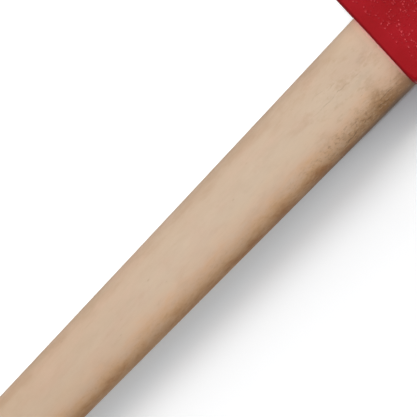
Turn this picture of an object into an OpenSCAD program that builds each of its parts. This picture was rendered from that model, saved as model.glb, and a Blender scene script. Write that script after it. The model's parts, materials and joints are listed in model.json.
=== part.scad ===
// Tomahawk reflex hammer: a moulded rubber head, flat-sided and wedge-shaped,
// on a tapered oval wooden handle whose round tenon is clamped in the head's
// eye by a screw and a cup washer. The hammer lies on its side, on the rim of
// its head and on the rounded nose of its butt.
// Millimetres. +X runs from the butt to the head, +Y toward the head's narrow
// end, +Z up. The origin is on the ground under the middle of the hammer.

/* [Handle] */
// Length of the handle outside the head, along its axis
handle_len = 195; // [150:1:240]
// Width of the handle where it enters the head
handle_w = 15.5; // [13:0.1:19]
// Thickness of the handle where it enters the head
handle_t = 13.2; // [11:0.1:16]
// Fullness of the handle's oval: 2 is an ellipse, and more is squarer
handle_fullness = 2.5; // [2:0.1:3.5]
// Width lost for each millimetre toward the butt
handle_taper = 0.031; // [0:0.001:0.035]
// Length of the rounded nose at the butt
nose_len = 12; // [5:1:25]
// Half width of the flat where the butt was parted off
nose_flat = 0.8; // [0.3:0.1:2]
// Depth that the oval end of the handle enters the head
socket_depth = 4; // [2:0.5:8]
// Bevel round the shoulder that seats in the head
shoulder_bevel = 0.4; // [0.1:0.1:1]

/* [Tenon] */
// Diameter of the round tenon
tenon_d = 9.4; // [7.5:0.1:11.3]
// Bevel round the end of the tenon
tenon_bevel = 0.6; // [0.2:0.1:1.5]
// Gap left between the end of the tenon and the washer
tenon_short = 0.6; // [0.2:0.1:2]

/* [Head outline] */
// Height of the head along the handle's axis
head_h = 36; // [30:1:46]
// Thickness of the head between its flat sides
head_t = 20; // [16.5:0.5:26]
// Slope of the head's underside and top away from square, in degrees
flank_slope = 3.4; // [1:0.1:8]
// Distance from the handle's axis to the centres of the broad end's corners
corner_reach = 6.8; // [5:0.1:9]
// Radius of the broad end's corners
corner_r = 1.9; // [1.4:0.1:3]
// Distance from the handle's axis to the crest of the broad striking end
broad_reach = 15.5; // [12.5:0.5:20]
// Distance from the handle's axis to the bends of the flanks
bend_reach = 13; // [9:0.5:18]
// Radius of the bends of the flanks
bend_r = 14; // [8:0.5:15]
// Distance from the handle's axis to the tip of the narrow striking end
narrow_reach = 48; // [38:1:60]
// Radius of the narrow striking end, seen from the side
narrow_r = 7; // [5:0.5:9]

/* [Head edges] */
// Edge rounding along the flanks, beside the handle
flank_edge = 0.5; // [0.2:0.1:1]
// Distance from the handle's axis to where the broad end's edges start to swell
swell_start = 4; // [0:0.5:6]
// Edge rounding round the broad striking end
broad_edge = 3; // [1:0.5:5]
// Edge rounding round the narrow striking end
narrow_edge = 4; // [1:0.5:5]
// Height of the broad end's crown across the thickness
broad_crown = 0.8; // [0.1:0.1:2]
// Height of the narrow end's crown across the thickness
narrow_crown = 1; // [0.1:0.1:2]
// Draft of the flanks from the parting plane to each flat side
flank_draft = 0.2; // [0.05:0.05:0.5]
// Height of the flash line that the mould leaves round the parting plane
flash_h = 0.1; // [0.05:0.05:0.2]
// Width of the flash line
flash_w = 0.5; // [0.3:0.1:0.8]

/* [Eye sleeve] */
// Wall of the sleeve's barrel
sleeve_wall = 1.25; // [0.8:0.05:2]
// Radial gap between the tenon and the sleeve's bore
tenon_gap = 0.05; // [0.02:0.01:0.2]
// Thickness of the sleeve's two flanges
flange_t = 1.4; // [0.8:0.1:2.5]
// Rubber left over the rim of each flange, where what bears on it leaves room
flange_cover = 2; // [1:0.1:3]
// Least that the flanges reach past the handle's shoulder
flange_lap = 0.3; // [0.2:0.1:1]
// Number of ribs that key the barrel into the rubber
rib_count = 4; // [0:1:6]
// Width of each rib along the barrel
rib_w = 1.2; // [0.6:0.1:2]
// Height of each rib above the barrel
rib_h = 0.8; // [0.3:0.1:1.2]
// Lead-in bevel at the lower mouth of the bore
bore_bevel = 0.5; // [0.1:0.1:1]
// Gap round the handle's oval end in the rubber socket
socket_gap = 0.1; // [0.02:0.01:0.3]

/* [Screw and washer] */
// Diameter of the screw's shank
screw_d = 4; // [3:0.5:5]
// Diameter of the screw's countersunk head
screw_head_d = 8.2; // [7:0.1:10]
// Length of the screw below the washer's rim
screw_len = 24; // [16:1:26]
// Length of the screw's point
point_len = 4; // [2:0.5:6]
// Height of the screw head's raised crown
crown_h = 0.8; // [0.3:0.1:1.2]
// Width of the screwdriver slot
slot_w = 1.1; // [0.8:0.1:1.6]
// Depth of the screwdriver slot below the crown
slot_depth = 1.5; // [1:0.1:1.8]
// Outside diameter of the cup washer
washer_d = 14; // [12.5:0.5:17]
// Height of the cup washer
washer_h = 2.4; // [2.2:0.1:3.5]
// Sheet thickness of the cup washer
washer_sheet = 0.6; // [0.4:0.1:0.8]
// Diameter of the hole through the cup washer
washer_hole_d = 5.2; // [5.1:0.1:6.5]
// Width of the flat land round the washer's countersink
washer_land = 0.5; // [0.3:0.1:1]
// Gap round the washer in its recess
recess_gap = 0.5; // [0.2:0.1:1]

/* [Hidden] */

// Segments of a full circle, and of each short curve in a profile
$fn = 96;
curve_steps = 16;
// Points round the handle's oval section
oval_points = 72;
// Steps of the head's edges and walls, and along its outline
edge_steps = 5;
wall_steps = 3;
outline_angle = 5;
outline_run = 3;
// Overlap that joins two shapes of one piece, or clears a cut's mouth
lap = 1;

// Half width of the handle at x, and at the start of its nose
function handle_r(x) = (handle_w + handle_taper * x) / 2;
handle_flatness = handle_t / handle_w;
nose_x = nose_len - handle_len;
nose_r = handle_r(nose_x);
// The nose is an elliptical arc that starts at its flat
nose_start = -acos(nose_flat / nose_r);
nose_reach = nose_len / sin(-nose_start);

// Rounds of the head's outline, each touching the next or the flat between them
middle = head_h / 2;
corner_x = flank_x(-corner_reach, corner_r);
bend_x = flank_x(bend_reach, bend_r);
tip_y = narrow_reach - narrow_r;
// The broad end's arc touches both corners from outside and reaches its crest
corner_rise = middle - corner_x;
crest_run = broad_reach - corner_reach;
broad_r = (corner_rise ^ 2 + crest_run ^ 2 - corner_r ^ 2) / (2 * (crest_run - corner_r));
broad_sweep = asin(corner_rise / (broad_r - corner_r));
// Slope of the wedge's sides, which touch the bends and the tip
wedge_run = [bend_x - middle, tip_y - bend_reach];
wedge_slope = atan2(wedge_run[1], wedge_run[0]) - acos((bend_r - narrow_r) / norm(wedge_run));
// Each round is [centre x, centre y, radius, first facing, last facing]
outline_rounds = [
    [head_h - bend_x, bend_reach, bend_r, flank_slope, wedge_slope],
    [middle, tip_y, narrow_r, wedge_slope, 180 - wedge_slope],
    [bend_x, bend_reach, bend_r, 180 - wedge_slope, 180 - flank_slope],
    [corner_x, -corner_reach, corner_r, 180 - flank_slope, 270 - broad_sweep],
    [middle, broad_r - broad_reach, broad_r, 270 - broad_sweep, 270 + broad_sweep],
    [head_h - corner_x, -corner_reach, corner_r, 270 + broad_sweep, 360 + flank_slope]
];
// Least radius that an edge leaves to the flat side inside a round
least_flat = 0.3;

// Recess in the head's top, deep enough to leave the screw's crown flush
recess_d = washer_d + 2 * recess_gap;
recess_depth = washer_h + crown_h;
sleeve_top = head_h - recess_depth;
tenon_end = sleeve_top - tenon_short;
screw_tip = sleeve_top + washer_h - screw_len;

// Furthest that the socket's oval floor reaches from the handle's axis
floor_reach = max([for (point = oval(shoulder(socket_gap)[1][0], 0)) norm(point)]);

// Sleeve radii, from the tenon that it holds, the rubber round it, and the
// washer and the shoulder, which bear on its flanges with all their faces
bore_r = tenon_d / 2 + tenon_gap;
barrel_r = bore_r + sleeve_wall;
flange_r = max(head_t / 2 - flange_cover, washer_d / 2, floor_reach + flange_lap);
barrel_low = socket_depth + flange_t;
barrel_len = sleeve_top - flange_t - barrel_low;
rib_pitch = barrel_len / (rib_count + 1);

// Angle that sets both the butt's nose and the head's lower rim on the ground:
// the common tangent below two circles, one in each
rim_x = corner_x - corner_r + flank_draft + flank_edge;
rim_drop = head_t / 2 - flank_edge;
nose_drop_r = nose_r * handle_flatness;
rim_run = rim_x - nose_x;
tilt = atan2(rim_drop, rim_run)
    - asin((nose_drop_r - flank_edge) / norm([rim_run, rim_drop]));

// Offsets that put the origin under the middle of the tilted hammer
top_x = head_h - corner_x + corner_r;
shift_x = (handle_len - top_x) * cos(tilt) / 2;
shift_y = (broad_reach - narrow_reach) / 2;
shift_z = rim_drop * cos(tilt) + flank_edge - rim_x * sin(tilt);

// Centre, along the handle, of a disc of radius r at y that touches the
// underside's slope
function flank_x(y, r) = y * tan(flank_slope) + r / cos(flank_slope);

// Points of an elliptical arc about a centre, from one angle to another
function arc(centre, rx, ry, from, to, steps) = [
    for (i = [0:steps])
        let (a = from + (to - from) * i / steps)
            [centre[0] + rx * cos(a), centre[1] + ry * sin(a)]
];

// A solid of revolution about the handle's axis, from points [radius, x]
module revolve(points) {
    rotate([0, 90, 0]) rotate_extrude() polygon(points);
}

// A plain disc on the handle's axis, between two places along it
module disc(r, from, to) {
    translate([from, 0, 0]) rotate([0, 90, 0]) cylinder(h = to - from, r = r);
}

// Lays the upright assembly down on its rim and nose, over the origin
module laid() {
    translate([shift_x, shift_y, shift_z]) rotate([0, -tilt, 0]) children();
}

// Points of the handle's oval section of half width r, at x
function oval(r, x) = [
    for (i = [0:oval_points - 1])
        let (
            c = cos(360 * i / oval_points),
            s = sin(360 * i / oval_points),
            n = handle_fullness,
            reach = r / (abs(c) ^ n + abs(s) ^ n) ^ (1 / n)
        )
            [x, reach * c, reach * s * handle_flatness]
];

// A solid of oval sections along the handle's axis, each from its [half width, x]
module oval_loft(sections) {
    rings = [for (section = sections) oval(section[0], section[1])];
    sides = [
        for (j = [0:len(rings) - 2], i = [0:oval_points - 1])
            let (low = j * oval_points, next = (i + 1) % oval_points)
                [low + i, low + oval_points + i, low + oval_points + next, low + next]
    ];
    butt = [for (i = [0:oval_points - 1]) i];
    top = [for (i = [1:oval_points]) len(rings) * oval_points - i];
    polyhedron([for (ring = rings) each ring], concat(sides, [butt, top]), 10);
}

// Last two sections of the handle's oval end, bevelled round its shoulder and
// grown by a gap where they shape the socket
function shoulder(gap) = [
    [handle_r(socket_depth - shoulder_bevel) + gap, socket_depth - shoulder_bevel],
    [handle_r(socket_depth) - shoulder_bevel + gap, socket_depth]
];

// Outside of the handle below its tenon
module shaft() {
    nose = arc([0, nose_x], nose_r, nose_reach, nose_start, 0, curve_steps);
    oval_loft(concat(nose, shoulder(0)));
}

// Socket for the oval end of the handle in the head's underside
module socket() {
    mouth_x = -narrow_r;
    oval_loft(concat([[handle_r(mouth_x) + socket_gap, mouth_x]], shoulder(socket_gap)));
}

// Shank and point of the screw, as they pass through the tenon
module screw_shank() {
    shank_r = screw_d / 2;
    revolve([
        [0, screw_tip],
        [shank_r, screw_tip + point_len],
        [shank_r, sleeve_top + washer_h - (screw_head_d - screw_d) / 2],
        [0, sleeve_top + washer_h]
    ]);
}

// Turned handle with its shoulder, round tenon and pilot hole
module handle() {
    tenon_r = tenon_d / 2;
    color([0.81, 0.71, 0.61])
        laid() difference() {
            union() {
                shaft();
                revolve([
                    [0, socket_depth - lap],
                    [tenon_r, socket_depth - lap],
                    [tenon_r, tenon_end - tenon_bevel],
                    [tenon_r - tenon_bevel, tenon_end],
                    [0, tenon_end]
                ]);
            }
            screw_shank();
        }
}

// Smooth step from 0 to 1
function ease(t) = let (u = min(max(t, 0), 1)) u * u * (3 - 2 * u);

// A size that goes from its flank value to each striking end's value with y
function along_head(y, flank, broad, narrow) = y < 0
    ? flank + (broad - flank) * ease((-y - swell_start) / (broad_reach - swell_start))
    : flank + (narrow - flank) * ease((y - bend_reach) / (narrow_reach - bend_reach));

// Point of the outline on one of its rounds, as [x, y, facing, radius]
function round_point(round, facing) = [
    round[0] + round[2] * cos(facing),
    round[1] + round[2] * sin(facing),
    facing,
    round[2]
];

// Points of the flat from the end of one round to the start of the next
function flat_points(start, end) =
    let (run = norm([end[0] - start[0], end[1] - start[1]]), steps = ceil(run / outline_run))
    run < least_flat ? [] : [
        for (i = [0:steps - 1])
            let (share = i / steps)
                [
                    start[0] + (end[0] - start[0]) * share,
                    start[1] + (end[1] - start[1]) * share,
                    start[2],
                    head_h
                ]
    ];

// The whole outline, counterclockwise
function outline_points() = [
    for (k = [0:len(outline_rounds) - 1])
        let (
            round = outline_rounds[k],
            next = outline_rounds[(k + 1) % len(outline_rounds)],
            sweep = round[4] - round[3],
            steps = ceil(sweep / outline_angle)
        )
            each concat(
                [for (i = [0:steps - 1]) round_point(round, round[3] + sweep * i / steps)],
                flat_points(round_point(round, round[4]), round_point(next, next[3]))
            )
];

// Upper half of the head's wall at one place, as [inset from the outline, z]
function half_wall(edge, crown) =
    let (wall_top = head_t / 2 - edge)
        concat(
            [[0, flash_w / 2]],
            [for (i = [1:wall_steps - 1]) [crown * (i / wall_steps) ^ 2, wall_top * i / wall_steps]],
            arc([crown + edge, wall_top], -edge, edge, 0, 90, edge_steps)
        );

// Wall of the head at one point of its outline, from the lower flat side to
// the upper one, with the flash line between
function wall_points(point) =
    let (
        crown = along_head(point[1], flank_draft, broad_crown, narrow_crown),
        wanted = along_head(point[1], flank_edge, broad_edge, narrow_edge),
        edge = min(wanted, point[3] - crown - least_flat),
        upper = half_wall(edge, crown),
        count = len(upper),
        lower = [for (i = [1:count]) [upper[count - i][0], -upper[count - i][1]]],
        facing = [cos(point[2]), sin(point[2])]
    )
        [
            for (step = concat(lower, [[-flash_h, 0]], upper))
                [point[0] - step[0] * facing[0], point[1] - step[0] * facing[1], step[1]]
        ];

// The moulded wedge before its eye is opened: its wall lofted round its outline
module head_blank() {
    walls = [for (point = outline_points()) wall_points(point)];
    around = len(walls);
    levels = len(walls[0]);
    sides = [
        for (i = [0:around - 1], j = [0:levels - 2])
            let (low = i * levels + j, next = (i + 1) % around * levels + j)
                each [[low, low + 1, next + 1], [low, next + 1, next]]
    ];
    lower_side = [for (i = [0:around - 1]) i * levels];
    upper_side = [for (i = [1:around]) (around - i) * levels + levels - 1];
    polyhedron([for (wall = walls) each wall], concat(sides, [lower_side, upper_side]), 12);
}

// Outside of the eye sleeve, which is also its bed in the rubber
module sleeve_outside() {
    disc(barrel_r, socket_depth, sleeve_top);
    disc(flange_r, socket_depth, barrel_low);
    disc(flange_r, sleeve_top - flange_t, sleeve_top);
    for (i = [1:1:rib_count]) {
        rib_x = barrel_low + i * rib_pitch;
        disc(barrel_r + rib_h, rib_x - rib_w / 2, rib_x + rib_w / 2);
    }
}

// Rubber head, moulded round the eye sleeve
module head() {
    color([0.63, 0.12, 0.15])
        laid() difference() {
            head_blank();
            socket();
            sleeve_outside();
            disc(recess_d / 2, sleeve_top, head_h + broad_reach);
        }
}

// Metal sleeve that lines the eye and takes the clamping force
module eye_sleeve() {
    color([0.72, 0.73, 0.74])
        laid() difference() {
            sleeve_outside();
            disc(bore_r, socket_depth - lap, sleeve_top + lap);
            revolve([
                [0, socket_depth - lap],
                [bore_r + bore_bevel + lap, socket_depth - lap],
                [bore_r, socket_depth + bore_bevel],
                [0, socket_depth + bore_bevel]
            ]);
        }
}

// Pressed cup washer: a domed rim and a countersunk seat of one sheet
module cup_washer() {
    seat_r = screw_head_d / 2;
    hole_r = washer_hole_d / 2;
    dome_r = seat_r + washer_land;
    dome_reach = washer_d / 2 - dome_r;
    rise = washer_h - washer_sheet;
    seat_low = washer_h - (seat_r - hole_r);
    under_x = hole_r + max(washer_sheet * sqrt(2) - seat_low, 0);
    outer = arc([dome_r, washer_sheet], dome_reach, rise, 0, 90, curve_steps);
    inner = arc([dome_r, 0], dome_reach - washer_sheet, rise, 90, 0, curve_steps);
    section = concat(
        [[washer_d / 2, 0]], outer,
        [[seat_r, washer_h], [hole_r, seat_low], [hole_r, 0], [under_x, 0]],
        [[under_x + rise, rise]], inner
    );
    color([0.78, 0.79, 0.80])
        laid() translate([sleeve_top, 0, 0]) revolve(section);
}

// Raised countersunk wood screw with a plain slot
module top_screw() {
    seat_r = screw_head_d / 2;
    head_x = sleeve_top + washer_h;
    color([0.78, 0.79, 0.80])
        laid() difference() {
            union() {
                screw_shank();
                revolve(concat(
                    arc([0, head_x], seat_r, crown_h, 0, 90, curve_steps),
                    [[0, head_x - seat_r]]
                ));
            }
            translate([head_x + crown_h - slot_depth, -seat_r - lap, -slot_w / 2])
                cube([slot_depth + lap, screw_head_d + 2 * lap, slot_w]);
        }
}

handle();
head();
eye_sleeve();
cup_washer();
top_screw();
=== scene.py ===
"""Looks of a tomahawk reflex hammer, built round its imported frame.

Lengths here are in millimetres in the hammer's own axes: +X along the handle toward
the head, with 0 where the handle enters it, +Y toward the head's narrow end, and +Z
toward the flat side that faces up. PLACE takes them to metres in the row's frame.
"""

import json
import math

import bmesh
import bpy
from mathutils import Matrix, Vector


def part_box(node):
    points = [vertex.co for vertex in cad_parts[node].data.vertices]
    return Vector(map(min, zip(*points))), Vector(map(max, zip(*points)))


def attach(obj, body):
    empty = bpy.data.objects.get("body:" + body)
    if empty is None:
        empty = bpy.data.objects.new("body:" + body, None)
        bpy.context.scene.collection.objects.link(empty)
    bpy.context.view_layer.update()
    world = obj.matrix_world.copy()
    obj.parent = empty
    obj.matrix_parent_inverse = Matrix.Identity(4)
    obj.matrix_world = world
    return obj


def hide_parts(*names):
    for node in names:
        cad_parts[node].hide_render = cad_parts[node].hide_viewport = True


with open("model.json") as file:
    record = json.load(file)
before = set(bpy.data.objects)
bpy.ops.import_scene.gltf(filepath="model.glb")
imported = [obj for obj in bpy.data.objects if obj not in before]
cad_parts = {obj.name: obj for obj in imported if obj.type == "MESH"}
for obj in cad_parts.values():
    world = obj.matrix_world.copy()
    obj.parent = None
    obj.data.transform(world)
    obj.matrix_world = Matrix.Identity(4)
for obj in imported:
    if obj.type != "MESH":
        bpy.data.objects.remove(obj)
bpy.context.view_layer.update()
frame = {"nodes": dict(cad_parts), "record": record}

MM = 0.001
# Lengths this close to each other are the same
MARGIN = 1e-6

# ---------------------------------------------------------------- Sizes, in mm

# Handle: the width and thickness are where it enters the head
HANDLE_LEN = 195.0
HANDLE_W = 15.5
HANDLE_T = 13.2
HANDLE_TAPER = 0.031
HANDLE_FULLNESS = 2.5
NOSE_LEN = 12.0
NOSE_FLAT = 0.8
SOCKET_DEPTH = 4.0
SHOULDER_BEVEL = 0.4
TENON_R = 4.7
TENON_BEVEL = 0.6
TENON_SHORT = 0.6
SOCKET_GAP = 0.1

# Head: its outline is six rounds, seen from the flat side
HEAD_H = 36.0
HEAD_T = 20.0
FLANK_SLOPE = math.radians(3.4)
CORNER_REACH = 6.8
CORNER_R = 1.9
BROAD_REACH = 15.5
BEND_REACH = 13.0
BEND_R = 14.0
NARROW_REACH = 48.0
NARROW_R = 7.0

# Head edges, which swell from the flanks toward both striking ends
FLANK_EDGE = 0.5
BROAD_EDGE = 3.0
NARROW_EDGE = 4.0
SWELL_START = 4.0
FLANK_DRAFT = 0.2
BROAD_CROWN = 0.8
NARROW_CROWN = 1.0
FLASH_H = 0.1
FLASH_W = 0.5
# The knee of the flash, as shares of its height and width
FLASH_KNEE_H = 0.6
FLASH_KNEE_W = 0.25

# Screw, washer, and the sleeve's outside
SCREW_R = 2.0
SCREW_HEAD_R = 4.1
SCREW_LEN = 24.0
POINT_LEN = 4.0
CROWN_H = 0.8
SLOT_W = 1.1
SLOT_DEPTH = 1.5
WASHER_R = 7.0
WASHER_H = 2.4
WASHER_SHEET = 0.6
WASHER_HOLE_R = 2.6
WASHER_LAND = 0.5
RECESS_R = 7.5
FLANGE_R = 8.0
BARREL_R = 6.0
FLANGE_T = 1.4

SLEEVE_TOP = HEAD_H - WASHER_H - CROWN_H
TENON_END = SLEEVE_TOP - TENON_SHORT
SCREW_RIM = SLEEVE_TOP + WASHER_H
SCREW_TIP = SCREW_RIM - SCREW_LEN

# Segments round the oval and the metal pieces, and along the pieces' curves
OVAL_SEGMENTS = 128
ROUND_SEGMENTS = 96
NOSE_STEPS = 24
SHAFT_STEPS = 90
METAL_STEPS = 14
# Along the head's outline: degrees of its rounds, mm of its straights, and the
# shortest straight that gets points
ROUND_STEP = 2.0
STRAIGHT_STEP = 1.2
SHORTEST_STRAIGHT = 0.3
# From the head's parting plane to its flat side
WALL_STEPS = 5
EDGE_STEPS = 8
# Least of a round's radius that the edge rounding leaves, and the width of a rim
# that keeps the flat side's shading flat
EDGE_ROOM = 0.3
FLAT_RIM = 0.15
# Cutters: where the socket's starts, how far the recess's and the slot's reach into
# the open, and how far the sleeve's reaches past its ends
SOCKET_START = -2.0
RECESS_BEYOND = 5.0
SLOT_BEYOND = 1.0
CUTTER_LAP = 0.01
# Points of the washer closer than this are one
WELD = 1e-4
# Edges above these angles, in degrees, are shaded sharp
WOOD_SHARP = 35
RUBBER_SHARP = 40
METAL_SHARP = 30

# ------------------------------------------------- The hammer's place in the row

# The upper flat side's normal gives the lean, and the eye sleeve's middle a
# point of the handle's axis
upper_side = next(m for m in frame["record"]["mounts"] if m["name"] == "upper_side")
LEAN = math.atan2(-upper_side["axis"][0], upper_side["axis"][2])
sleeve_low, sleeve_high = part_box("eye_sleeve")
SLEEVE_MIDDLE = (SOCKET_DEPTH + SLEEVE_TOP) / 2
PLACE = (
    Matrix.Translation((sleeve_low + sleeve_high) / 2)
    @ Matrix.Rotation(-LEAN, 4, "Y")
    @ Matrix.Scale(MM, 4)
    @ Matrix.Translation((-SLEEVE_MIDDLE, 0, 0))
)

# ------------------------------------------------------------------ Mesh helpers


def make_piece(name, mesh_maker, sharp_degrees):
    """A new object whose mesh is what mesh_maker returns, smooth below an angle."""
    bm = mesh_maker()
    bmesh.ops.recalc_face_normals(bm, faces=bm.faces)
    mesh = bpy.data.meshes.new(name)
    bm.to_mesh(mesh)
    bm.free()
    mesh.transform(PLACE)
    piece = bpy.data.objects.new(name, mesh)
    bpy.context.scene.collection.objects.link(piece)
    smooth(piece, sharp_degrees)
    return piece


def smooth(piece, sharp_degrees):
    """Smooth shading, with the edges above an angle kept sharp."""
    mesh = piece.data
    mesh.polygons.foreach_set("use_smooth", [True] * len(mesh.polygons))
    mesh.set_sharp_from_angle(angle=math.radians(sharp_degrees))


def add_rings(bm, rings):
    """Quads between each ring of points and the next; a ring of one point is a tip."""
    rows = [[bm.verts.new(p) for p in ring] for ring in rings]
    for low, high in zip(rows, rows[1:]):
        for i in range(max(len(low), len(high))):
            corners = [low[i % len(low)], low[(i + 1) % len(low)]]
            corners += [high[(i + 1) % len(high)], high[i % len(high)]]
            bm.faces.new(list(dict.fromkeys(corners)))
    return rows


def round_point(x, radius, angle):
    """Point of a round section; x is there to match the other sections."""
    return radius * math.cos(angle), radius * math.sin(angle)


def turned(path, segments, section=round_point):
    """Mesh of a path of (radius, x) taken round the x axis along the given section."""
    bm = bmesh.new()
    angles = [math.tau * i / segments for i in range(segments)]
    rings = []
    for radius, x in path:
        if radius < MARGIN:
            rings.append([Vector((x, 0, 0))])
        else:
            rings.append([Vector((x, *section(x, radius, a))) for a in angles])
    add_rings(bm, rings)
    return bm


def arc(centre, rx, ry, start, end, steps):
    """Points of an elliptical arc, with its angles in degrees."""
    angles = [math.radians(start + (end - start) * i / steps) for i in range(steps + 1)]
    return [(centre[0] + rx * math.cos(a), centre[1] + ry * math.sin(a)) for a in angles]


def cut(piece, cutter):
    """Takes the cutter's solid out of the piece, and removes the cutter."""
    boolean = piece.modifiers.new("cut", "BOOLEAN")
    boolean.operation = "DIFFERENCE"
    boolean.solver = "EXACT"
    boolean.object = cutter
    apply_modifiers(piece)
    bpy.data.objects.remove(cutter)


def apply_modifiers(piece):
    """Bakes a piece's modifiers into its mesh."""
    bpy.context.view_layer.update()
    depsgraph = bpy.context.evaluated_depsgraph_get()
    mesh = bpy.data.meshes.new_from_object(piece.evaluated_get(depsgraph))
    piece.modifiers.clear()
    piece.data = mesh


def finish_piece(piece, node, material):
    """Sets what the piece is made of and what it stands for."""
    piece.data.materials.clear()
    piece.data.materials.append(material)
    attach(piece, "root")
    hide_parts(node)


# ---------------------------------------------------------------- Shader helpers


class Nodes:
    """A node tree under construction."""

    def __init__(self, tree):
        self.tree = tree
        self.tree.nodes.clear()

    def add(self, kind, inputs=None, **settings):
        made = self.tree.nodes.new(kind)
        for key, value in settings.items():
            setattr(made, key, value)
        for key, value in (inputs or {}).items():
            self.put(made.inputs[key], value)
        return made

    def put(self, socket, value):
        if isinstance(value, bpy.types.NodeSocket):
            self.tree.links.new(value, socket)
        else:
            socket.default_value = value

    def math(self, operation, *values):
        return self.add("ShaderNodeMath", dict(enumerate(values)), operation=operation).outputs[0]

    def times(self, a, b):
        return self.math("MULTIPLY", a, b)

    def vector(self, operation, *values):
        made = self.add("ShaderNodeVectorMath", dict(enumerate(values)), operation=operation)
        return made.outputs["Value" if operation == "LENGTH" else "Vector"]

    def axes(self, vector):
        """The x, y and z of a vector."""
        return tuple(self.add("ShaderNodeSeparateXYZ", {0: vector}).outputs)

    def fit(self, value, low, high, to_low=0.0, to_high=1.0, smooth=True):
        """value from the range low to high onto another range, clamped."""
        kind = "SMOOTHSTEP" if smooth else "LINEAR"
        inputs = {
            "Value": value, "From Min": low, "From Max": high,
            "To Min": to_low, "To Max": to_high,
        }
        return self.add("ShaderNodeMapRange", inputs, interpolation_type=kind).outputs[0]

    def mix(self, share, a, b):
        """Two colours mixed, by the numbers of the mixing node's colour sockets."""
        made = self.add("ShaderNodeMix", data_type="RGBA")
        self.put(made.inputs[0], share)
        self.put(made.inputs[6], a)
        self.put(made.inputs[7], b)
        return made.outputs[2]

    def washed(self, colour, washes, fields):
        """colour with each wash's tone mixed in, by the product of its masks of the fields."""
        for tone, masks in washes:
            share = None
            for name, mask in masks.items():
                mask = self.fit(fields[name], *mask)
                share = mask if share is None else self.times(share, mask)
            colour = self.mix(share, colour, tone)
        return colour

    def seen_ray(self):
        """One where the camera, a reflection or a view through glass meets the surface."""
        rays = self.add("ShaderNodeLightPath").outputs
        seen = self.math("MAXIMUM", rays["Is Camera Ray"], rays["Is Glossy Ray"])
        return self.math("MAXIMUM", seen, rays["Is Transmission Ray"])


class Shader(Nodes):
    """A material's nodes, in the hammer's millimetres."""

    def __init__(self, name):
        self.material = bpy.data.materials.new(name)
        self.material.use_nodes = True
        super().__init__(self.material.node_tree)
        self.output = self.add("ShaderNodeOutputMaterial")

    def place_mm(self):
        """Position in the hammer's own axes, in millimetres."""
        back = PLACE.inverted()
        position = self.add("ShaderNodeTexCoord").outputs["Object"]
        mapping = self.add("ShaderNodeMapping", {"Vector": position})
        mapping.inputs["Scale"].default_value = (1 / MM,) * 3
        mapping.inputs["Rotation"].default_value = back.to_euler()
        mapping.inputs["Location"].default_value = back.translation
        return mapping.outputs["Vector"]

    def stretched(self, vector, scale):
        return self.vector("MULTIPLY", vector, scale)

    def noise(self, vector, per_mm, detail=2.0, roughness=0.5):
        """Noise with per_mm features a millimetre, as one number or one for each axis."""
        if isinstance(per_mm, tuple):
            vector, per_mm = self.stretched(vector, per_mm), 1.0
        inputs = {
            "Vector": vector, "Scale": per_mm, "Detail": detail, "Roughness": roughness,
        }
        return self.add("ShaderNodeTexNoise", inputs).outputs["Fac"]

    def from_flank(self, x, y):
        """Distance above the head's underside, along the handle."""
        return self.math("MULTIPLY_ADD", y, -math.tan(FLANK_SLOPE), x)

    def bump(self, height, distance_mm):
        inputs = {"Height": height, "Distance": distance_mm * MM, "Strength": 1.0}
        return self.add("ShaderNodeBump", inputs).outputs["Normal"]

    def surface(self, **inputs):
        shader = self.add("ShaderNodeBsdfPrincipled")
        for key, value in inputs.items():
            self.put(shader.inputs[key.replace("_", " ")], value)
        self.put(self.output.inputs["Surface"], shader.outputs["BSDF"])
        return self.material


# --------------------------------------------------------------------- Materials

# A mask is where it starts and ends, and the shares at both places if they aren't 0
# and 1. "across" goes from -1 at the handle's -Y rim to 1 at its +Y rim, and
# "uneven_across" is the same with an uneven edge. A noise is its features a millimetre,
# detail and roughness.

# The wood's tone across the handle, from the +Y rim (0) to the -Y rim (1), with painted
# shade: darker towards both rims, and darker and warmer most of all towards the -Y rim,
# which faces away from the lamps
WOOD_TONES_AND_SHADE = [
    (0.00, (0.500, 0.350, 0.240, 1)),
    (0.16, (0.555, 0.415, 0.300, 1)),
    (0.30, (0.572, 0.434, 0.315, 1)),
    (0.45, (0.613, 0.474, 0.349, 1)),
    (0.56, (0.633, 0.481, 0.347, 1)),
    (0.67, (0.659, 0.478, 0.341, 1)),
    (0.76, (0.673, 0.457, 0.307, 1)),
    (0.86, (0.669, 0.419, 0.246, 1)),
    (0.93, (0.598, 0.343, 0.178, 1)),
    (1.00, (0.480, 0.230, 0.098, 1)),
]
ROSY_WOOD = (0.615, 0.430, 0.320, 1)
TAN_WOOD = (0.46, 0.31, 0.19, 1)
PALE_WOOD = (0.66, 0.51, 0.36, 1)
SHADE_AND_BUTT_WOOD = (0.36, 0.185, 0.07, 1)
BROWN_WOOD = (0.27, 0.15, 0.08, 1)
HONEY_WOOD = (0.90, 0.55, 0.30, 1)
RIM_SHADE_WOOD = (0.060, 0.042, 0.030, 1)
CHECK_WOOD = (0.12, 0.06, 0.03, 1)

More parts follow.
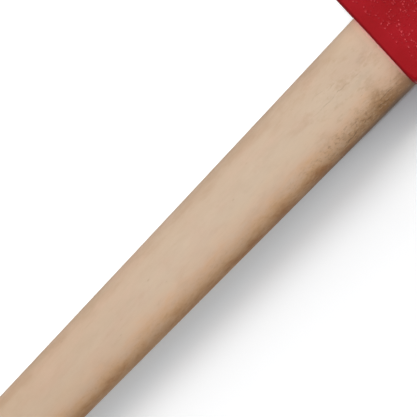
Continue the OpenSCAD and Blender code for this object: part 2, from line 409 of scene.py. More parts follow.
# Slow bends of the grain, and how far they carry it
DRIFT = ((0.03, 0.08, 0.08), 2.0)
DRIFT_REACH = 4.0
BLOTCHES = ((0.20, 0.42, 0.42), 5.0, 0.62)
BLOTCH_SHIFT = (0.25, 0.75, -0.24, 0.24)
UNEVEN_SHIFT = (0.3, 0.7, -0.18, 0.18)
WOOD_NOISES = {
    "rosy": ((0.12, 0.26, 0.26), 4.0, 0.6),
    "tan": ((0.24, 0.50, 0.50), 4.0, 0.62),
    "fleck": ((0.50, 0.85, 0.85), 3.0, 0.62),
    "rough": ((1.3, 2.6, 2.6), 2.0, 0.7),
    "fibre": ((0.30, 3.0, 3.0), 3.0, 0.6),
}
ROUGH_SIDE = {"across": (-0.38, -0.66), "x": (-32.0, -14.0, 0.3, 1.0)}
WOOD_WASHES = [
    (ROSY_WOOD, {"rosy": (0.44, 0.68, 0.0, 0.55), "across": (-0.6, 0.1, 0.25, 1.0)}),
    (TAN_WOOD, {"tan": (0.50, 0.76), "x": (-26.0, -8.0, 0.17, 0.50)}),
    (TAN_WOOD, {"fleck": (0.51, 0.74), "x": (-24.0, -10.0, 0.07, 0.43)}),
    # Painted light on the +Y side by the head, where the head shades it
    (PALE_WOOD, {"across": (0.45, 0.95), "x": (-12.0, -1.0, 0.0, 0.7)}),
    # Painted shade darkens the -Y side by the head, and the butt's half is darker too
    (SHADE_AND_BUTT_WOOD, {"uneven_across": (-0.84, -0.42, 0.72, 0.0), "x": (-22.0, -2.0)}),
    (SHADE_AND_BUTT_WOOD, {"x": (-90.0, -46.0, 0.18, 0.0)}),
    # The rim of the same side is warmer further down
    (HONEY_WOOD, {"across": (-0.78, -0.94), "x": (-52.0, -38.0, 0.20, 0.0)}),
    # Rough wood along the -Y side, and fine short fibres everywhere
    (BROWN_WOOD, {"rough": (0.50, 0.70, 0.0, 0.48), **ROUGH_SIDE}),
    (PALE_WOOD, {"rough": (0.47, 0.30, 0.0, 0.38), **ROUGH_SIDE}),
    (BROWN_WOOD, {"fibre": (0.45, 0.80, 0.0, 0.05)}),
]
# Painted shade: the rims are darker, most of all by the head on the -Y side, and less in their
# lower half
UPPER_HALF = (-1.6, 0.4, 0.15, 1.0)
RIM_SHADE_WASHES = [
    (RIM_SHADE_WOOD, {"across": (-0.90, -0.99), "x": (-42.0, -4.0, 0.02, 0.64), "z": UPPER_HALF}),
    (RIM_SHADE_WOOD, {"across": (0.95, 1.0, 0.0, 0.14)}),
    (RIM_SHADE_WOOD, {"across": (-0.86, -0.97), "x": (-11.0, -1.0, 0.0, 0.48), "z": UPPER_HALF}),
]

# Pores are dark dashes in a few long cells
PORE_CELLS = (0.50, 1.5, 1.5)
PORE_SIZE = (0.06, 0.22, 1.0, 0.0)
PORE_CHOICE = (0.95, 0.99)
PORE_SHARE = 0.22

# Hairline checks in the upper side of the handle: start and end as (x, y), half width, depth
HAIRLINES = [
    ((-17.2, 0.9), (-6.6, 0.9), 0.055, 0.8),
    ((-6.8, 0.8), (-4.6, 0.2), 0.05, 0.5),
    ((-15.2, 3.2), (-11.4, 2.9), 0.05, 0.6),
    ((-12.0, 2.2), (-9.4, 2.4), 0.05, 0.5),
    ((-3.4, 1.0), (-0.9, 1.5), 0.05, 0.6),
    ((-7.3, -5.1), (-2.2, -5.2), 0.06, 0.8),
    ((-3.2, -4.4), (-0.9, -4.4), 0.05, 0.8),
    ((-8.2, -5.9), (-4.4, -6.0), 0.06, 1.0),
    ((-11.6, -6.1), (-8.6, -6.0), 0.06, 1.0),
    ((-16.5, -6.3), (-12.0, -6.1), 0.06, 1.0),
    ((-5.6, 1.9), (-0.6, 2.6), 0.42, 0.45),
    ((-9.0, -0.6), (-3.0, -0.2), 0.50, 0.30),
]
# How a check wavers, fades out to its sides and over one part in CHECK_ENDS of its
# length at each end, and is broken along it
CHECK_WAVER = ((0.45, 0.2, 0.0), 3.0)
CHECK_SHIFT = (0.2, 0.8, -0.35, 0.35)
CHECK_FADE = 2.2
CHECK_ENDS = 3
CHECK_UPPER = (0.0, 2.0)
CHECK_BREAKS = ((1.1, 1.5, 1.5), 3.0)
CHECK_BROKEN = (0.35, 0.55, 0.15, 1.0)
CHECK_SHARE = (-0.85, -0.45, 0.60, 0.26)

# Painted red reflection of the head, and painted light against its shade, on the wood round
# the mouth of the socket: a bright line and two glows, by the distance from the head's
# underside
REFLECTED_RED_LINE_WOOD = (0.95, 0.50, 0.42, 1)
REFLECTED_RED_GLOW_WOOD = (0.95, 0.59, 0.42, 1)
REFLECTION_PATCHES = (0.9, 3.0, 0.6)
REFLECTION_SHIFT = (0.3, 0.7, -0.25, 0.12)
REFLECTION_LINE = (-0.44, -0.16, 0.0, 0.8)
REFLECTION_ACROSS = (-0.9, -0.5)
WIDE_GLOW = (-5.0, -1.0, 0.0, 0.13)
MOUTH_GLOW = (-1.6, -0.4)
MOUTH_ACROSS = (-0.75, 0.85, 0.03, 0.36)

WOOD_GLOSS = (0.3, 0.7, 0.55, 0.68)
WOOD_SPECULAR = 0.2
FIBRE_H = 0.5
WOOD_BUMP = 0.02


def wood_fields(s):
    """Places and noises of the wood, by name."""
    place = s.place_mm()
    x, y, z = s.axes(place)
    sway = s.times(s.noise(place, *DRIFT), DRIFT_REACH)
    bend = s.add("ShaderNodeCombineXYZ", {"Y": sway, "Z": sway}).outputs[0]
    grain = s.vector("ADD", place, bend)
    half_width = s.math("MULTIPLY_ADD", x, HANDLE_TAPER / 2, HANDLE_W / 2)
    across = s.math("DIVIDE", y, half_width)
    fields = {"place": place, "x": x, "y": y, "z": z, "grain": grain, "across": across}
    for name, settings in WOOD_NOISES.items():
        fields[name] = s.noise(grain, *settings)
    shift = s.fit(fields["tan"], *UNEVEN_SHIFT, smooth=False)
    fields["uneven_across"] = s.math("SUBTRACT", across, shift)
    return fields


def wood_tone_and_shade(s, wood):
    """The tone from rim to rim, with its painted shade, and blotches that break its edges."""
    shift = s.fit(s.noise(wood["grain"], *BLOTCHES), *BLOTCH_SHIFT, smooth=False)
    shifted = s.math("SUBTRACT", wood["across"], shift)
    tones = s.add("ShaderNodeValToRGB", {0: s.fit(shifted, 1.0, -1.0, smooth=False)})
    ramp = tones.color_ramp
    while len(ramp.elements) < len(WOOD_TONES_AND_SHADE):
        ramp.elements.new(0.5)
    for element, (position, tone) in zip(ramp.elements, WOOD_TONES_AND_SHADE):
        element.position, element.color = position, tone
    return tones.outputs[0]


def pores(s, wood):
    """Short dashes along the grain, in a few cells only."""
    vector = s.stretched(wood["grain"], PORE_CELLS)
    cells = s.add("ShaderNodeTexVoronoi", {"Vector": vector, "Scale": 1.0}).outputs
    chosen = s.add("ShaderNodeSeparateColor", {0: cells["Color"]}).outputs[0]
    return s.times(s.fit(cells["Distance"], *PORE_SIZE), s.fit(chosen, *PORE_CHOICE))


def hairline(s, wood, start, end, half_width, depth):
    """A wavering line between two places on the handle's upper side."""
    waver = s.fit(s.noise(wood["place"], *CHECK_WAVER), *CHECK_SHIFT, smooth=False)
    slope = (end[1] - start[1]) / (end[0] - start[0])
    line = s.math("MULTIPLY_ADD", wood["x"], slope, start[1] - slope * start[0])
    away = s.math("ABSOLUTE", s.math("SUBTRACT", wood["y"], s.math("ADD", line, waver)))
    run = (end[0] - start[0]) / CHECK_ENDS
    mask = s.fit(away, 0.0, half_width * CHECK_FADE, depth, 0.0)
    mask = s.times(mask, s.fit(wood["x"], start[0], start[0] + run))
    mask = s.times(mask, s.fit(wood["x"], end[0] - run, end[0], 1.0, 0.0))
    return s.times(mask, s.fit(wood["z"], *CHECK_UPPER))


def hairline_checks(s, wood):
    """All the checks, each broken along its length."""
    checks = hairline(s, wood, *HAIRLINES[0])
    for line in HAIRLINES[1:]:
        checks = s.math("MAXIMUM", checks, hairline(s, wood, *line))
    broken = s.fit(s.noise(wood["place"], *CHECK_BREAKS), *CHECK_BROKEN)
    return s.times(checks, broken)


def paint_red_reflection(s, colour, wood):
    """Painted red reflection and painted light on the wood round the mouth of the socket."""
    flank = s.from_flank(wood["x"], wood["y"])
    mouth = s.fit(wood["across"], *MOUTH_ACROSS, smooth=False)
    mouth = s.times(s.fit(flank, *MOUTH_GLOW), mouth)
    glow = s.math("ADD", s.fit(flank, *WIDE_GLOW), mouth)
    colour = s.mix(glow, colour, REFLECTED_RED_GLOW_WOOD)
    shift = s.fit(s.noise(wood["place"], *REFLECTION_PATCHES), *REFLECTION_SHIFT, smooth=False)
    line = s.fit(s.math("ADD", flank, shift), *REFLECTION_LINE)
    strength = s.times(line, s.fit(wood["across"], *REFLECTION_ACROSS))
    return s.mix(strength, colour, REFLECTED_RED_LINE_WOOD)


def beech():
    """Bare sanded beech: soft mottling, faint fibres, rare pores and a few hairline checks."""
    s = Shader("beech_wood")
    wood = wood_fields(s)
    colour = s.washed(wood_tone_and_shade(s, wood), WOOD_WASHES, wood)
    dashes = pores(s, wood)
    colour = s.mix(s.times(dashes, PORE_SHARE), colour, BROWN_WOOD)
    checks = hairline_checks(s, wood)
    deep = s.times(checks, s.fit(wood["across"], *CHECK_SHARE))
    colour = s.mix(deep, colour, CHECK_WOOD)
    # Painted shade along the rims
    colour = s.washed(colour, RIM_SHADE_WASHES, wood)
    # Painted red reflection and painted light by the head
    colour = paint_red_reflection(s, colour, wood)
    raised = s.times(wood["fibre"], FIBRE_H)
    height = s.math("SUBTRACT", raised, s.math("ADD", dashes, checks))
    return s.surface(
        Base_Color=colour,
        Roughness=s.fit(wood["fibre"], *WOOD_GLOSS),
        Specular_IOR_Level=WOOD_SPECULAR,
        Normal=s.bump(height, WOOD_BUMP),
    )


RUBBER_DARK = (0.290, 0.001, 0.005, 1)
RUBBER_LIGHT = (0.340, 0.003, 0.010, 1)
RUBBER_SHADES = (0.12, 3.0)
RUBBER_SPREAD = (0.35, 0.65)
RUBBER_SPECULAR = 0.30
RUBBER_TINT = (1.0, 0.28, 0.28, 1)
PIMPLE_HIGHLIGHT_RED = (0.64, 0.066, 0.080, 1)
EDGE_SHADE_RED = (0.08, 0.010, 0.012, 1)
# Pimples: how close they may stand, their radius and height in mm, and their sizes
PIMPLES_PER_MM = 2.0
PIMPLE_R = 0.32
PIMPLE_H = 0.10
PIMPLE_SHRINK = (0.0, 1.0, 0.85, 1.9)
# How their round outlines are made ragged: features a millimetre, detail and reach
RAGGED_SCALE = 2.6
RAGGED_DETAIL = 1.0
RAGGED_REACH = (0.5, 0.5, 0.5)
# The strings that they stand in: a shift, the noise whose middle level they follow,
# the distance from that level, and how a cell's own number lets it in or out
STRINGS_AT = (9.0, 4.0, 0.0)
STRINGS = ((0.42, 0.17, 0.3), 2.0, 0.6)
STRING_WIDTH = (0.01, 0.10, 1.0, 0.0)
CELL_REACH = (0.0, 1.0, -0.85, 0.50)
REACHED = (0.15, 0.45)
# How much of a pimple carries the painted highlight, and how bright each one's is
PIMPLE_TOP = (0.10, 0.75)
PIMPLE_LIGHT = (0.3, 1.0, 0.30, 1.0)
PIMPLE_GLOSS = (0.05, 0.3, 0.34, 0.22)
# Where the pimples start, by x, and where the painted shade on the edge ends, by the
# distance from the head's underside
SMOOTH_BAND = (1.8, 3.8)
EDGE_BAND = (0.32, 0.78, 1.0, 0.0)
EDGE_SHARE = 0.32
EDGE_ROUGHNESS = 0.9
RUBBER_GRAIN = (3.2, 2.0, 0.6)
GRAIN_H = 0.06


def pimples(s, place, x):
    """Height of the pimples, cones of one slope in the cells of a string, and the share of their
    painted highlight.
    """
    inputs = {"Vector": place, "Scale": RAGGED_SCALE, "Detail": RAGGED_DETAIL}
    ragged = s.add("ShaderNodeTexNoise", inputs).outputs["Color"]
    ragged = s.vector("MULTIPLY_ADD", ragged, RAGGED_REACH, place)
    cells = s.add("ShaderNodeTexVoronoi", {"Vector": ragged, "Scale": PIMPLES_PER_MM}).outputs
    light, reach, shrink = s.add("ShaderNodeSeparateColor", {0: cells["Color"]}).outputs
    level = s.noise(s.vector("ADD", place, STRINGS_AT), *STRINGS)
    strings = s.fit(s.math("ABSOLUTE", s.math("SUBTRACT", level, 0.5)), *STRING_WIDTH)
    reach = s.math("ADD", strings, s.fit(reach, *CELL_REACH, smooth=False))
    reach = s.times(reach, s.fit(x, *SMOOTH_BAND))
    distance = s.times(cells["Distance"], s.fit(shrink, *PIMPLE_SHRINK))
    cone = s.fit(distance, 0.0, PIMPLE_R * PIMPLES_PER_MM, 1.0, 0.0, smooth=False)
    height = s.times(cone, s.fit(reach, *REACHED))
    return height, s.times(s.fit(height, *PIMPLE_TOP), s.fit(light, *PIMPLE_LIGHT))


def red_rubber():
    """Moulded red rubber: satin, with loose strings of fine glossy pimples whose tops carry a
    painted highlight.
    """
    s = Shader("red_rubber")
    place = s.place_mm()
    x, y, _ = s.axes(place)
    shade = s.fit(s.noise(place, *RUBBER_SHADES), *RUBBER_SPREAD)
    colour = s.mix(shade, RUBBER_DARK, RUBBER_LIGHT)
    pimple, bright = pimples(s, place, x)
    # Painted highlight on the pimples' tops
    colour = s.mix(bright, colour, PIMPLE_HIGHLIGHT_RED)
    # Painted shade darkens the edge of the underside
    edge = s.fit(s.from_flank(x, y), *EDGE_BAND)
    colour = s.mix(s.times(edge, EDGE_SHARE), colour, EDGE_SHADE_RED)
    height = s.math("MULTIPLY_ADD", s.noise(place, *RUBBER_GRAIN), GRAIN_H, pimple)
    gloss = s.fit(pimple, *PIMPLE_GLOSS)
    return s.surface(
        Base_Color=colour,
        Roughness=s.math("MAXIMUM", gloss, s.times(edge, EDGE_ROUGHNESS)),
        Specular_IOR_Level=RUBBER_SPECULAR,
        Specular_Tint=RUBBER_TINT,
        Normal=s.bump(height, PIMPLE_H),
    )


# The metals' colours, their fine turning marks, and how rough they are
PLATE_COLOUR = (0.62, 0.60, 0.56, 1)
ALLOY_COLOUR = (0.74, 0.75, 0.76, 1)
PLATE_RINGS = (9.0, 2.0)
PLATE_CLOUDS = (0.5, 2.0)
PLATE_GLOSS = (0.3, 0.7, 0.20, 0.32)
PLATE_BUMP = 0.004
ALLOY_MARKS = ((6.0, 0.05, 0.05), 2.0)
ALLOY_GLOSS = (0.3, 0.7, 0.26, 0.42)
ALLOY_BUMP = 0.01


def plated_steel():
    """Nickel-plated steel with fine turning marks."""
    s = Shader("nickel_plate")
    place = s.place_mm()
    radius = s.vector("LENGTH", s.stretched(place, (0, 1, 1)))
    rings = s.noise(s.add("ShaderNodeCombineXYZ", {"X": radius}).outputs[0], *PLATE_RINGS)
    return s.surface(
        Base_Color=PLATE_COLOUR,
        Metallic=1.0,
        Roughness=s.fit(s.noise(place, *PLATE_CLOUDS), *PLATE_GLOSS),
        Normal=s.bump(rings, PLATE_BUMP),
    )


def turned_alloy():
    """Bare turned aluminium."""
    s = Shader("turned_alloy")
    marks = s.noise(s.place_mm(), *ALLOY_MARKS)
    return s.surface(
        Base_Color=ALLOY_COLOUR,
        Metallic=1.0,
        Roughness=s.fit(marks, *ALLOY_GLOSS),
        Normal=s.bump(marks, ALLOY_BUMP),
    )


# ------------------------------------------------------------------------ Handle


def handle_r(x):
    return (HANDLE_W + HANDLE_TAPER * x) / 2


def oval_point(x, radius, angle):
    """Point of the handle's full oval section, between an ellipse and a rounded bar."""
    c, z = math.cos(angle), math.sin(angle)
    n = HANDLE_FULLNESS
    reach = radius / (abs(c) ** n + abs(z) ** n) ** (1 / n)
    return reach * c, reach * z * HANDLE_T / HANDLE_W


def handle_point(x, radius, angle):
    """The handle is oval as far as its shoulder, and its tenon and pilot hole are round."""
    in_socket = x > SOCKET_DEPTH - MARGIN
    if x > SOCKET_DEPTH + MARGIN or in_socket and radius < TENON_R + MARGIN or radius <= SCREW_R:
        return round_point(x, radius, angle)
    return oval_point(x, radius, angle)


def handle_mesh():
    nose_x = NOSE_LEN - HANDLE_LEN
    nose_r = handle_r(nose_x)
    start = -math.degrees(math.acos(NOSE_FLAT / nose_r))
    reach = NOSE_LEN / math.sin(math.radians(-start))
    path = [(0, -HANDLE_LEN)] + arc((0, nose_x), nose_r, reach, start, 0, NOSE_STEPS)
    shaft_end = SOCKET_DEPTH - SHOULDER_BEVEL
    for i in range(1, SHAFT_STEPS + 1):
        x = nose_x + (shaft_end - nose_x) * i / SHAFT_STEPS
        path.append((handle_r(x), x))
    shoulder_r = handle_r(SOCKET_DEPTH)
    path += [(shoulder_r - SHOULDER_BEVEL, SOCKET_DEPTH), (TENON_R, SOCKET_DEPTH)]
    path += [(TENON_R, TENON_END - TENON_BEVEL), (TENON_R - TENON_BEVEL, TENON_END)]
    path += [(SCREW_R, TENON_END), (SCREW_R, SCREW_TIP + POINT_LEN), (0, SCREW_TIP)]
    return turned(path, OVAL_SEGMENTS, handle_point)


def make_handle(material):
    piece = make_piece("handle_wood", handle_mesh, WOOD_SHARP)
    finish_piece(piece, "handle", material)


# -------------------------------------------------------------------------- Head


def flank_x(y, r):
    """Where the centre of a round of radius r lies, if it touches the underside at y."""
    return y * math.tan(FLANK_SLOPE) + r / math.cos(FLANK_SLOPE)


def ease(t):
    """From 0 to 1 with level ends."""
    u = min(max(t, 0.0), 1.0)
    return u * u * (3 - 2 * u)


def along_head(y, flank, broad, narrow):
    """A size that goes from its flank value to each striking end's value with y."""
    if y < 0:
        return flank + (broad - flank) * ease((-y - SWELL_START) / (BROAD_REACH - SWELL_START))
    return flank + (narrow - flank) * ease((y - BEND_REACH) / (NARROW_REACH - BEND_REACH))


def outline_rounds():
    """Centre x and y, radius and first and last facing of each round, in degrees."""
    middle = HEAD_H / 2
    corner_x = flank_x(-CORNER_REACH, CORNER_R)
    bend_x = flank_x(BEND_REACH, BEND_R)
    tip_y = NARROW_REACH - NARROW_R
    rise = middle - corner_x
    run = BROAD_REACH - CORNER_REACH
    broad_r = (rise**2 + run**2 - CORNER_R**2) / (2 * (run - CORNER_R))
    sweep = math.degrees(math.asin(rise / (broad_r - CORNER_R)))
    side = Vector((bend_x - middle, tip_y - BEND_REACH))
    wedge = math.degrees(
        math.atan2(side.y, side.x) - math.acos((BEND_R - NARROW_R) / side.length)
    )
    slope = math.degrees(FLANK_SLOPE)
    return [
        (HEAD_H - bend_x, BEND_REACH, BEND_R, slope, wedge),
        (middle, tip_y, NARROW_R, wedge, 180 - wedge),
        (bend_x, BEND_REACH, BEND_R, 180 - wedge, 180 - slope),
        (corner_x, -CORNER_REACH, CORNER_R, 180 - slope, 270 - sweep),
        (middle, broad_r - BROAD_REACH, broad_r, 270 - sweep, 270 + sweep),
        (HEAD_H - corner_x, -CORNER_REACH, CORNER_R, 270 + sweep, 360 + slope),
    ]


def on_round(item, facing):
    """Point of a round as (x, y, facing in radians, radius)."""
    x, y, radius = item[:3]
    a = math.radians(facing)
    return x + radius * math.cos(a), y + radius * math.sin(a), a, radius


def outline_points():
    """Points round the outline as (x, y, facing in radians, local radius)."""
    rounds = outline_rounds()
    points = []
    for item, after in zip(rounds, rounds[1:] + rounds[:1]):
        first, last = item[3:]
        steps = math.ceil((last - first) / ROUND_STEP)
        points += [on_round(item, first + (last - first) * i / steps) for i in range(steps)]
        start, end = on_round(item, last), on_round(after, after[3])
        run = math.dist(start[:2], end[:2])
        if run < SHORTEST_STRAIGHT:
            continue
        steps = math.ceil(run / STRAIGHT_STEP)
        for i in range(steps):
            x = start[0] + (end[0] - start[0]) * i / steps
            y = start[1] + (end[1] - start[1]) * i / steps
            points.append((x, y, start[2], HEAD_H))
    return points


def wall_profile(edge, crown):
    """Half of the wall at one place as (inset, z), from the parting plane to the flat side."""
    wall_top = HEAD_T / 2 - edge
    knee = (-FLASH_KNEE_H * FLASH_H, FLASH_KNEE_W * FLASH_W)
    points = [(-FLASH_H, 0), knee, (0, FLASH_W / 2)]
    for i in range(1, WALL_STEPS):
        points.append((crown * (i / WALL_STEPS) ** 2, wall_top * i / WALL_STEPS))
    return points + arc((crown + edge, wall_top), -edge, edge, 0, 90, EDGE_STEPS)


def head_mesh():
    columns = []
    for x, y, facing, local_r in outline_points():
        crown = along_head(y, FLANK_DRAFT, BROAD_CROWN, NARROW_CROWN)
        edge = along_head(y, FLANK_EDGE, BROAD_EDGE, NARROW_EDGE)
        half = wall_profile(min(edge, local_r - crown - EDGE_ROOM), crown)
        half.append((half[-1][0] + FLAT_RIM, half[-1][1]))
        whole = [(inset, -z) for inset, z in half[:0:-1]] + half
        out = Vector((math.cos(facing), math.sin(facing), 0))
        columns.append([Vector((x, y, z)) - out * inset for inset, z in whole])
    bm = bmesh.new()
    rows = add_rings(bm, list(zip(*columns)))
    bm.faces.new(rows[0])
    bm.faces.new(rows[-1])
    return bm


def socket_cutter():
    """The handle's end with a little room round it."""
    mouth_r = handle_r(SOCKET_START) + SOCKET_GAP
    shoulder_r = handle_r(SOCKET_DEPTH) + SOCKET_GAP
    path = [(0, SOCKET_START), (mouth_r, SOCKET_START)]
    path += [(shoulder_r, SOCKET_DEPTH - SHOULDER_BEVEL)]
    path += [(shoulder_r - SHOULDER_BEVEL, SOCKET_DEPTH), (0, SOCKET_DEPTH)]
    return turned(path, OVAL_SEGMENTS, oval_point)


def sleeve_cutter():
    """The sleeve's outside, and the washer's recess above it."""
    low, high = SOCKET_DEPTH - CUTTER_LAP, SLEEVE_TOP + CUTTER_LAP
    top = HEAD_H + RECESS_BEYOND
    path = [(0, low), (FLANGE_R, low), (FLANGE_R, SOCKET_DEPTH + FLANGE_T)]
    path += [(BARREL_R, SOCKET_DEPTH + FLANGE_T), (BARREL_R, SLEEVE_TOP - FLANGE_T)]
    path += [(FLANGE_R, SLEEVE_TOP - FLANGE_T), (FLANGE_R, high), (RECESS_R, high)]
    return turned(path + [(RECESS_R, top), (0, top)], ROUND_SEGMENTS)


def make_head(material):
    piece = make_piece("head_rubber", head_mesh, RUBBER_SHARP)
    cut(piece, make_piece("socket_cutter", socket_cutter, METAL_SHARP))
    cut(piece, make_piece("sleeve_cutter", sleeve_cutter, METAL_SHARP))
    smooth(piece, RUBBER_SHARP)
    weighted = piece.modifiers.new("flat sides", "WEIGHTED_NORMAL")
    weighted.keep_sharp = True
    finish_piece(piece, "head", material)


# -------------------------------------------------------------- Screw and washer


def washer_mesh():
    """A pressed dome of sheet, with a countersink through its middle."""
    dome_r = SCREW_HEAD_R + WASHER_LAND
    seat_low = WASHER_H - (SCREW_HEAD_R - WASHER_HOLE_R)
    under_h = WASHER_H - WASHER_SHEET
    under_x = WASHER_HOLE_R + max(WASHER_SHEET * math.sqrt(2) - seat_low, 0)
    reach = WASHER_R - dome_r
    path = [(WASHER_R, 0)]
    path += arc((dome_r, WASHER_SHEET), reach, under_h, 0, 90, METAL_STEPS)
    path += [(SCREW_HEAD_R, WASHER_H), (WASHER_HOLE_R, seat_low), (WASHER_HOLE_R, 0)]
    path += [(under_x, 0), (under_x + under_h, under_h)]
    path += arc((dome_r, 0), reach - WASHER_SHEET, under_h, 90, 0, METAL_STEPS)
    path.append(path[0])
    bm = turned([(r, x + SLEEVE_TOP) for r, x in path], ROUND_SEGMENTS)
    bmesh.ops.remove_doubles(bm, verts=bm.verts, dist=WELD)
    return bm


def screw_mesh():
    seat = SCREW_RIM - (SCREW_HEAD_R - SCREW_R)
    path = [(0, SCREW_TIP), (SCREW_R, SCREW_TIP + POINT_LEN), (SCREW_R, seat)]
    path += arc((0, SCREW_RIM), SCREW_HEAD_R, CROWN_H, 0, 90, METAL_STEPS)
    path[-1] = (0, SCREW_RIM + CROWN_H)
    return turned(path, ROUND_SEGMENTS)


def slot_cutter():
    bm = bmesh.new()
    low = SCREW_RIM + CROWN_H - SLOT_DEPTH
    size = Vector((SLOT_DEPTH + SLOT_BEYOND, 2 * (SCREW_HEAD_R + SLOT_BEYOND), SLOT_W))
    bmesh.ops.create_cube(bm, size=1.0)
    for v in bm.verts:
        v.co = v.co * size + Vector((low + size.x / 2, 0, 0))
    return bm


def make_screw(material):
    piece = make_piece("top_screw_plated", screw_mesh, METAL_SHARP)
    cut(piece, make_piece("slot_cutter", slot_cutter, METAL_SHARP))
    smooth(piece, METAL_SHARP)
    finish_piece(piece, "top_screw", material)


def make_washer(material):
    piece = make_piece("cup_washer_plated", washer_mesh, METAL_SHARP)
    finish_piece(piece, "cup_washer", material)


# ---------------------------------------------------------- Camera, light, floor

# The photograph's frame and where the handle meets the head in it, in pixels
PHOTO_SIZE = 417
JUNCTION = (384.40, 51.65)
HANDLE_PIXELS = 90.6
LENS = 1200.0
SENSOR = 36.0
CLIP_START = 0.1
CLIP_END = 50.0
# The camera is turned, so that the handle rises to the upper right of the frame
HANDLE_TURN = math.radians(46.03)
FRAME_RIGHT = Vector((math.cos(HANDLE_TURN), -math.sin(HANDLE_TURN), 0))
FRAME_UP = Vector((math.sin(HANDLE_TURN), math.cos(HANDLE_TURN), 0))


def make_camera():
    """Looks straight down from far away, with the photograph's scale and frame."""
    pixel = HANDLE_W * MM / HANDLE_PIXELS
    aim = PLACE @ Vector((0, 0, 0))
    aim -= FRAME_RIGHT * (JUNCTION[0] - PHOTO_SIZE / 2) * pixel
    aim += FRAME_UP * (JUNCTION[1] - PHOTO_SIZE / 2) * pixel
    data = bpy.data.cameras.new("camera")
    data.lens = LENS
    data.sensor_width = SENSOR
    data.clip_start = CLIP_START
    data.clip_end = CLIP_END
    camera = bpy.data.objects.new("camera", data)
    bpy.context.scene.collection.objects.link(camera)
    distance = PHOTO_SIZE * pixel * LENS / SENSOR
    camera.location = aim + Vector((0, 0, distance))
    camera.rotation_euler = (0, 0, -HANDLE_TURN)
    bpy.context.scene.camera = camera


# Two lamps come from the frame's upper left: each has its tilt from straight down and
# half its spread, in degrees, and the level at which it lights a white surface facing it
KEY_LAMP = (33.0, 12.0, 0.267)
FILL_LAMP = (26.0, 34.0, 0.545)


def make_lamp(name, tilt, half_spread, level):
    """A far soft lamp."""
    tilt = math.radians(tilt)
    toward = (FRAME_UP - FRAME_RIGHT).normalized()
    source = toward * math.sin(tilt) + Vector((0, 0, math.cos(tilt)))
    data = bpy.data.lights.new(name, "SUN")
    data.energy = level * math.pi
    data.angle = 2 * math.radians(half_spread)
    lamp = bpy.data.objects.new(name, data)
    lamp.rotation_mode = "QUATERNION"
    lamp.rotation_quaternion = source.to_track_quat("Z", "Y")
    bpy.context.scene.collection.objects.link(lamp)


# The room's light falls off from the horizon to overhead
ROOM_HORIZON = 0.46
ROOM_FALL = 3.0


def make_room():
    """Plain room light, dark overhead, and white where it is seen itself."""
    world = bpy.data.worlds.new("room")
    bpy.context.scene.world = world
    world.use_nodes = True
    s = Nodes(world.node_tree)
    _, _, z = s.axes(s.add("ShaderNodeTexCoord").outputs["Generated"])
    height = s.math("POWER", s.fit(z, 0.0, 1.0, smooth=False), ROOM_FALL)
    level = s.fit(height, 0.0, 1.0, ROOM_HORIZON, 0.0, smooth=False)
    white = (1, 1, 1, 1)
    room = s.add("ShaderNodeBackground", {"Color": white, "Strength": level}).outputs[0]
    seen = s.add("ShaderNodeBackground", {"Color": white}).outputs[0]
    choose = s.add("ShaderNodeMixShader", {0: s.seen_ray(), 1: room, 2: seen}).outputs[0]
    s.add("ShaderNodeOutputWorld", {"Surface": choose})


# The floor: half its side in metres, its own colour, and its bounce
FLOOR_REACH = 6.0
FLOOR_COLOUR = (0.89, 0.89, 0.89, 1)
FLOOR_BOUNCE = (0.30, 0.30, 0.30, 1)
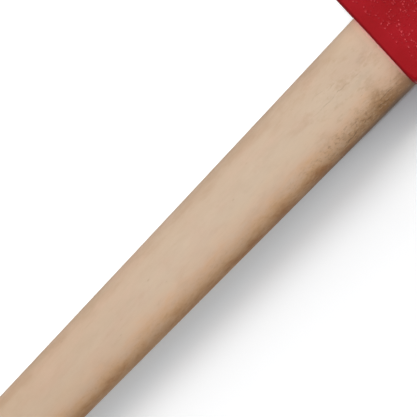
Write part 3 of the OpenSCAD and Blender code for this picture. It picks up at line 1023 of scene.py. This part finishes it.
# What the camera sees added to the floor's colour, as painted light and shadow that shape
# the handle's shadow: in the handle's shadow, and then in places by x, y and "gap", the
# distance from the handle's -Y rim
SHADED_LIFT = (0.149, 0.157, 0.166, 1)
FAR_LIFT = (0.205, 0.220, 0.222, 1)
CLOSE_LIFT = (0.156, 0.176, 0.190, 1)
HEAD_LIFT = (0.092, 0.112, 0.128, 1)
BESIDE_LIFT = (0.196, 0.210, 0.215, 1)
CONTACT_SHADOW_LIFT = (0.0, 0.0, 0.0, 1)
LIT_LIFT = (0.46, 0.50, 0.50, 1)
PAINTED_FLOOR_LIFTS = [
    # Painted light and shadow by the head, close to the handle, and in the corner between them,
    # which is darker
    (FAR_LIFT, {"x": (-20.0, -4.0)}),
    (CLOSE_LIFT, {"y": (-13.0, -9.5)}),
    (HEAD_LIFT, {"x": (-22.0, -2.0), "y": (-14.5, -11.0)}),
    # Painted light along the handle's rim away from the head, and a painted contact shadow hard
    # against it by the head
    (BESIDE_LIFT, {"gap": (0.2, 2.2, 1.0, 0.0), "x": (-48.0, -18.0, 1.0, 0.0)}),
    (CONTACT_SHADOW_LIFT, {"gap": (0.05, 0.55, 0.9, 0.0), "x": (-24.0, -6.0)}),
    # Painted light outside the shadow: on the handle's lit side, and beyond the head
    (LIT_LIFT, {"y": (-HANDLE_W / 2, HANDLE_W / 2)}),
    (LIT_LIFT, {"x": (HEAD_H / 3, HEAD_H)}),
]


def floor_material():
    """Pale, and seen a little brighter than it lights, so that it reads as white; painted light
    and shadow shape the handle's shadow on it.
    """
    s = Shader("floor_white")
    seen = s.seen_ray()
    colour = s.mix(seen, FLOOR_BOUNCE, FLOOR_COLOUR)
    diffuse = s.add("ShaderNodeBsdfDiffuse", {"Color": colour}).outputs[0]
    x, y, _ = s.axes(s.place_mm())
    gap = s.math("MULTIPLY_ADD", x, -HANDLE_TAPER / 2, s.math("SUBTRACT", -HANDLE_W / 2, y))
    lift = s.washed(SHADED_LIFT, PAINTED_FLOOR_LIFTS, {"x": x, "y": y, "gap": gap})
    lift = s.add("ShaderNodeEmission", {"Color": lift, "Strength": seen}).outputs[0]
    both = s.add("ShaderNodeAddShader", {0: diffuse, 1: lift}).outputs[0]
    s.put(s.output.inputs["Surface"], both)
    return s.material


def make_floor():
    bm = bmesh.new()
    bmesh.ops.create_grid(bm, x_segments=1, y_segments=1, size=FLOOR_REACH)
    mesh = bpy.data.meshes.new("floor")
    bm.to_mesh(mesh)
    bm.free()
    mesh.materials.append(floor_material())
    floor = bpy.data.objects.new("floor", mesh)
    bpy.context.scene.collection.objects.link(floor)


# ------------------------------------------------------------------------- Build

bpy.context.scene.view_settings.view_transform = "Standard"
make_camera()
make_lamp("key", *KEY_LAMP)
make_lamp("fill", *FILL_LAMP)
make_room()
make_floor()

make_handle(beech())
make_head(red_rubber())
plate = plated_steel()
make_washer(plate)
make_screw(plate)

sleeve = frame["nodes"]["eye_sleeve"]
sleeve.data.materials.clear()
sleeve.data.materials.append(turned_alloy())
